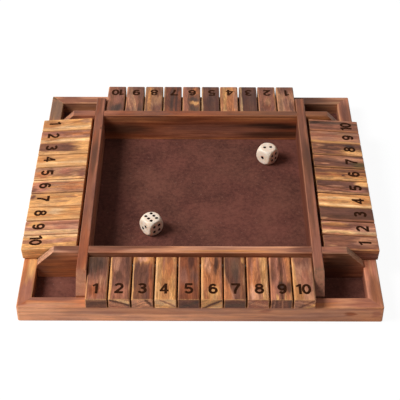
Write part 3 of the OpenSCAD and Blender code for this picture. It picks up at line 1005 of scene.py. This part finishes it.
def pip_cap(shape, place, width, above, lift):
    """A shallow cup below a face, closed by a disc a little above it"""
    ball_r = (width**2 / 4 + PIP_DEPTH**2) / (2 * PIP_DEPTH)
    centre = DIE_W / 2 + ball_r - PIP_DEPTH + lift
    open_angle = math.acos((centre - DIE_W / 2 - above) / ball_r)
    pole = shape.verts.new(place @ Vector((0, 0, centre - ball_r)))
    last = None
    turns = [2 * math.pi * k / PIP_SEGMENTS for k in range(PIP_SEGMENTS)]
    for ring in range(1, PIP_RINGS + 1):
        angle = open_angle * ring / PIP_RINGS
        radius, z = ball_r * math.sin(angle), centre - ball_r * math.cos(angle)
        row = [
            shape.verts.new(place @ Vector((radius * math.cos(t), radius * math.sin(t), z)))
            for t in turns
        ]
        for k in range(PIP_SEGMENTS):
            if last:
                shape.faces.new((last[k], last[k - 1], row[k - 1], row[k]))
            else:
                shape.faces.new((pole, row[k - 1], row[k]))
        last = row
    shape.faces.new(last)


def pip_caps(values, above, lift):
    """All the pip caps of a die, to cut its hollows or to show as their paint"""
    shape = bmesh.new()
    for turn, value in face_turns(*values):
        for x, y in pip_places(value):
            width = ACE_D if value == 1 else PIP_D
            pip_cap(shape, turn @ Matrix.Translation((x, y, 0)), width, above, lift)
    bmesh.ops.recalc_face_normals(shape, faces=shape.faces)
    return shape


def die_shell():
    """A cube rounded by a ball, with a soft rim where they meet: the higher the power of the
    rim, the sharper it is"""
    shape = bmesh.new()
    bmesh.ops.create_cube(shape, size=2)
    bmesh.ops.subdivide_edges(shape, edges=shape.edges, cuts=DIE_CELLS - 1, use_grid_fill=True)
    for vert in shape.verts:
        flat = DIE_W / 2 * vert.co.length
        ball = DIE_BALL_D / 2
        reach = (flat**-RIM_POWER + ball**-RIM_POWER) ** (-1 / RIM_POWER)
        vert.co = vert.co.normalized() * reach
    return shape


die_resin, pip_paint = die_material(), pip_material()
for node, (turn, *values) in DICE.items():
    low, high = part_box(node)
    place = Matrix.Translation((low + high) / 2) @ Matrix.Rotation(math.radians(turn), 4, "Z")
    place = place @ Matrix.Scale(MM, 4)
    cutter = as_mesh(pip_caps(values, CUTTER_TOP, 0.0))
    body = join_solids(as_mesh(die_shell()), cutter, "DIFFERENCE")
    body.transform(place)
    piece = add_piece(body, node + "_resin", node, die_resin, [node])
    fix_normals(piece, 28)
    paint = pip_caps(values, PAINT_TOP, PAINT_LIFT)
    paint.transform(place)
    piece = add_piece(as_mesh(paint, node + "_pips"), node + "_pips", node, pip_paint)
    piece.data.shade_smooth()

# CAD nodes that show as they are
plywood, steel = plywood_material(), steel_material()
shown = {"base_board": plywood, **{"rod_" + side: steel for side in SIDES}}
for node, material in shown.items():
    for place in frame["nodes"][node].material_slots:
        place.material = material

# Floor, world, lamp and camera. The floor and the world are white where the camera sees them,
# and light the object far less than they would at that strength.
FLOOR_SIZE = 6.0
FLOOR_DROP = 0.05 * MM
FLOOR_GLOW = 0.94
WORLD_LIGHT = 0.17
WHITE = (1, 1, 1, 1)


def camera_sight(s):
    """1 for what the camera sees, by itself or in a reflection or through glass"""
    path = s.put("ShaderNodeLightPath", {}).outputs
    seen = s.math("MAXIMUM", path["Is Camera Ray"], path["Is Glossy Ray"])
    return s.math("MAXIMUM", seen, path["Is Transmission Ray"])


def floor_material():
    s = Shader("floor")
    seen = camera_sight(s)
    grey, faint = (0.8, 0.8, 0.8, 1), (0.1, 0.1, 0.1, 1)
    return s.finish(
        Base_Color=s.mix(seen, grey, faint),
        Roughness=1.0,
        Specular_IOR_Level=0.0,
        Emission_Color=WHITE,
        Emission_Strength=s.times(seen, FLOOR_GLOW),
    )


floor_mesh = bpy.data.meshes.new("floor")
half = FLOOR_SIZE / 2
floor_corners = [(-half, -half), (half, -half), (half, half), (-half, half)]
floor_mesh.from_pydata([(x, y, -FLOOR_DROP) for x, y in floor_corners], [], [(0, 1, 2, 3)])
floor_mesh.materials.append(floor_material())
floor = bpy.data.objects.new("floor", floor_mesh)
bpy.context.scene.collection.objects.link(floor)
floor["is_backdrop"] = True

s = Shader("studio", "worlds", "Background")
strength = s.ramp(camera_sight(s), 0.0, 1.0, WORLD_LIGHT, smooth=False)
bpy.context.scene.world = s.finish(Color=WHITE, Strength=strength)


def add_softbox(name, azimuth, elevation, distance, size, power):
    """A square lamp aimed at the board. Azimuth 0 is in front of it and 90 to its right."""
    lamp = bpy.data.lights.new(name, "AREA")
    lamp.size, lamp.energy = size, power
    piece = bpy.data.objects.new(name, lamp)
    bpy.context.scene.collection.objects.link(piece)
    a, e = math.radians(azimuth), math.radians(elevation)
    towards = Vector((math.sin(a) * math.cos(e), -math.cos(a) * math.cos(e), math.sin(e)))
    piece.location = towards * distance
    piece.rotation_mode = "QUATERNION"
    piece.rotation_quaternion = towards.to_track_quat("Z", "Y")


add_softbox("key", azimuth=-79, elevation=43.5, distance=1.6, size=0.79, power=29.6)

# The camera stands where the photograph was taken from, found from the board's corners in it.
CAMERA_AIM = Vector((-0.323, -12.604, 15.0)) * MM
CAMERA_YAW, CAMERA_ELEVATION, CAMERA_ROLL = (math.radians(d) for d in (-0.095, 39.902, 0.25))
CAMERA_DISTANCE = 1037.4 * MM
SENSOR_W, FOCAL_LENGTH = 36.0, 101.58  # millimetres
camera = bpy.data.cameras.new("camera")
camera.sensor_width, camera.lens = SENSOR_W, FOCAL_LENGTH
camera.clip_start, camera.clip_end = 0.05, 20
viewer = bpy.data.objects.new("camera", camera)
bpy.context.scene.collection.objects.link(viewer)
back = Vector(
    (
        math.sin(CAMERA_YAW) * math.cos(CAMERA_ELEVATION),
        -math.cos(CAMERA_YAW) * math.cos(CAMERA_ELEVATION),
        math.sin(CAMERA_ELEVATION),
    )
)
facing = back.to_track_quat("Z", "Y").to_matrix().to_4x4()
viewer.matrix_world = (
    Matrix.Translation(CAMERA_AIM + back * CAMERA_DISTANCE)
    @ facing
    @ Matrix.Rotation(CAMERA_ROLL, 4, "Z")
)
bpy.context.scene.camera = viewer
bpy.context.scene.view_settings.view_transform = "Standard"

bpy.context.view_layer.update()
low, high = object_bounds()
